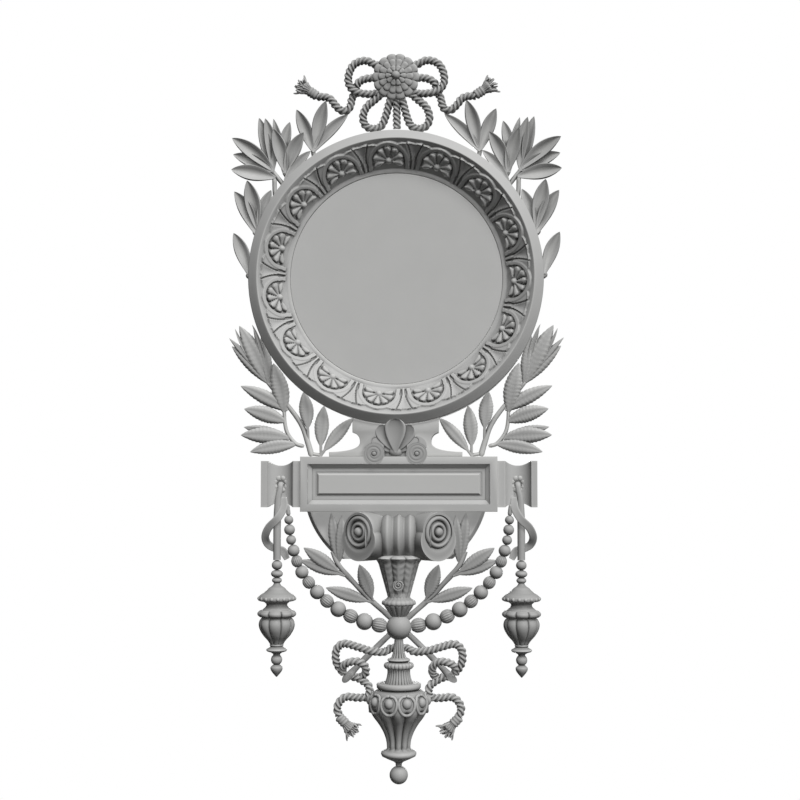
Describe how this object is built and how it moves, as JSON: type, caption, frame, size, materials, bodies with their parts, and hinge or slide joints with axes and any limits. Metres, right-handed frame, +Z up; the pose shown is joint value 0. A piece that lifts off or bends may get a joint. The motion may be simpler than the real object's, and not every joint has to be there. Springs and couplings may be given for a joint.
{
  "type": "carved wall frame",
  "caption": "Tall carved wall frame: round palmette moulding round a blank plate, rope bow crest, leaf sprays, panelled tablet, beaded swags and hanging urn pendants.",
  "frame": {"origin": "centre of the ring, on the flat back that rests against the wall", "axes": "+Z up the wall, +Y into the wall, +X to the viewer's right; the carved face looks along -Y"},
  "size_m": [0.4694, 0.0771, 1.0158],
  "materials": {
    "painted_limewood": "matt stone-grey paint over gesso",
    "painted_plate": "smooth matt stone-grey paint"
  },
  "bodies": {
    "root": {"ring_frame": "painted_limewood", "dial_plate": "painted_plate", "backboard": "painted_limewood", "tablet": "painted_limewood", "end_block_left": "painted_limewood", "end_block_right": "painted_limewood", "shell": "painted_limewood", "capital": "painted_limewood", "torch": "painted_limewood", "big_bead": "painted_limewood", "centre_pendant": "painted_limewood", "side_pendant_left": "painted_limewood", "side_pendant_right": "painted_limewood", "ribbon_left": "painted_limewood", "ribbon_right": "painted_limewood", "garland_left": "painted_limewood", "garland_right": "painted_limewood", "laurel_left": "painted_limewood", "laurel_right": "painted_limewood", "olive_left": "painted_limewood", "olive_right": "painted_limewood", "crossed_branches": "painted_limewood", "cord_bow": "painted_limewood", "crest_bow": "painted_limewood", "crest_rosette": "painted_limewood"}
  },
  "joints": []
}
